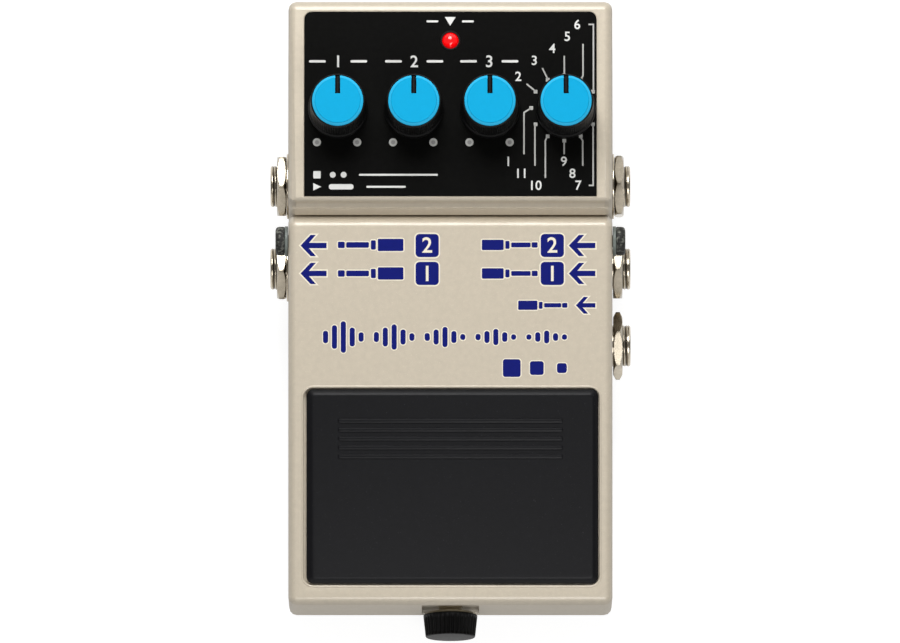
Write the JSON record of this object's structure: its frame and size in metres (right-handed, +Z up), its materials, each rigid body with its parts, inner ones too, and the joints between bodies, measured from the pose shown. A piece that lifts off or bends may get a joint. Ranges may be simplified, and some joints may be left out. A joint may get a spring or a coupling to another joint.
{
  "type": "delay pedal",
  "caption": "Compact foot pedal with a sprung treadle over its battery bay, a panel of turning dials behind it, side jacks and a thumbscrew that locks the treadle.",
  "frame": {"origin": "Centre of the rubber base pad's underside, the face that the pedal stands on.", "axes": "+X is the player's right, +Y the rear with the power inlet, +Z up; the treadle and thumbscrew face -Y."},
  "size_m": [0.0734, 0.1281, 0.0588],
  "materials": {
    "cream_paint": "gloss",
    "black_panel": "matte",
    "black_rubber": "matte",
    "black_plastic": "satin",
    "blue_plastic": "satin",
    "red_lens": "gloss",
    "nickel": "gloss",
    "dark_metal": "satin",
    "zinc_steel": "satin",
    "spring_steel": "gloss",
    "pot_can": "satin",
    "green_board": "satin",
    "grey_plastic": "satin",
    "white_plastic": "satin",
    "battery_jacket": "gloss",
    "red_wire": "satin",
    "black_wire": "satin"
  },
  "bodies": {
    "case": {"chassis": "cream_paint", "bottom_plate": "zinc_steel", "base_pad": "black_rubber", "base_screw_1": "zinc_steel", "base_screw_2": "zinc_steel", "base_screw_3": "zinc_steel", "base_screw_4": "zinc_steel", "control_panel": "black_panel", "status_led": "red_lens", "control_board": "green_board", "level_pot": "pot_can", "feedback_pot": "pot_can", "time_pot": "pot_can", "mode_switch": "pot_can", "output_b_jack": "nickel", "output_b_jack_nut": "nickel", "output_b_jack_washer": "nickel", "output_a_jack": "nickel", "output_a_jack_nut": "nickel", "output_a_jack_washer": "nickel", "input_b_jack": "nickel", "input_b_jack_nut": "nickel", "input_b_jack_washer": "nickel", "input_a_jack": "nickel", "input_a_jack_nut": "nickel", "tempo_jack": "nickel", "tempo_jack_nut": "nickel", "dc_jack": "black_plastic", "main_board": "green_board", "foot_switch": "black_plastic", "switch_cap": "grey_plastic", "pedal_spring": "spring_steel", "guide_bush": "white_plastic", "battery": "battery_jacket", "battery_snap": "black_plastic", "battery_lead_red": "red_wire", "battery_lead_black": "black_wire", "hinge_pin_left": "dark_metal", "hinge_pin_right": "dark_metal"},
    "treadle_body": {"treadle": "cream_paint", "tread_rubber": "black_rubber", "hinge_bush_left": "white_plastic", "hinge_bush_right": "white_plastic"},
    "screw_washer_body": {"thumbscrew_washer": "grey_plastic"},
    "thumbscrew_body": {"thumbscrew_head": "black_plastic", "thumbscrew_shank": "zinc_steel"},
    "level_dial": {"level_knob": "black_plastic", "level_knob_cap": "blue_plastic", "level_shaft": "zinc_steel"},
    "feedback_dial": {"feedback_knob": "black_plastic", "feedback_knob_cap": "blue_plastic", "feedback_shaft": "zinc_steel"},
    "time_dial": {"time_knob": "black_plastic", "time_knob_cap": "blue_plastic", "time_shaft": "zinc_steel"},
    "mode_dial": {"mode_knob": "black_plastic", "mode_knob_cap": "blue_plastic", "mode_shaft": "zinc_steel"}
  },
  "joints": [
    {"name": "treadle_hinge", "type": "hinge", "parent": "case", "child": "treadle_body", "pos_m": [0, 0.00945, 0.0374], "axis": [-1, 0, 0], "range_deg": [-2, 60], "stiffness_Nm_per_rad": 0.8, "springref_deg": 1.38, "deforming": ["pedal_spring", "switch_cap"]},
    {"name": "thumbscrew_feed", "type": "slide", "parent": "treadle_body", "child": "screw_washer_body", "axis": [0, 1, 0], "range_m": [0, 0.0012]},
    {"name": "thumbscrew_turn", "type": "hinge", "parent": "screw_washer_body", "child": "thumbscrew_body", "pos_m": [0, -0.062, 0.0142], "axis": [0, 1, 0], "range_deg": [0, 541]},
    {"name": "level_dial_turn", "type": "hinge", "parent": "case", "child": "level_dial", "pos_m": [-0.02277, 0.03496, 0.04593], "axis": [0, -0.0297, 0.9996], "range_deg": [-150, 150]},
    {"name": "feedback_dial_turn", "type": "hinge", "parent": "case", "child": "feedback_dial", "pos_m": [-0.00739, 0.03496, 0.04593], "axis": [0, -0.0297, 0.9996], "range_deg": [-150, 150]},
    {"name": "time_dial_turn", "type": "hinge", "parent": "case", "child": "time_dial", "pos_m": [0.00799, 0.03496, 0.04593], "axis": [0, -0.0297, 0.9996], "range_deg": [-150, 150]},
    {"name": "mode_dial_turn", "type": "hinge", "parent": "case", "child": "mode_dial", "pos_m": [0.02337, 0.03496, 0.04593], "axis": [0, -0.0297, 0.9996], "range_deg": [-60, 240]}
  ],
  "couplings": [
    {"joint": "thumbscrew_turn", "follows": "thumbscrew_feed", "rad_per_m": 7854}
  ]
}
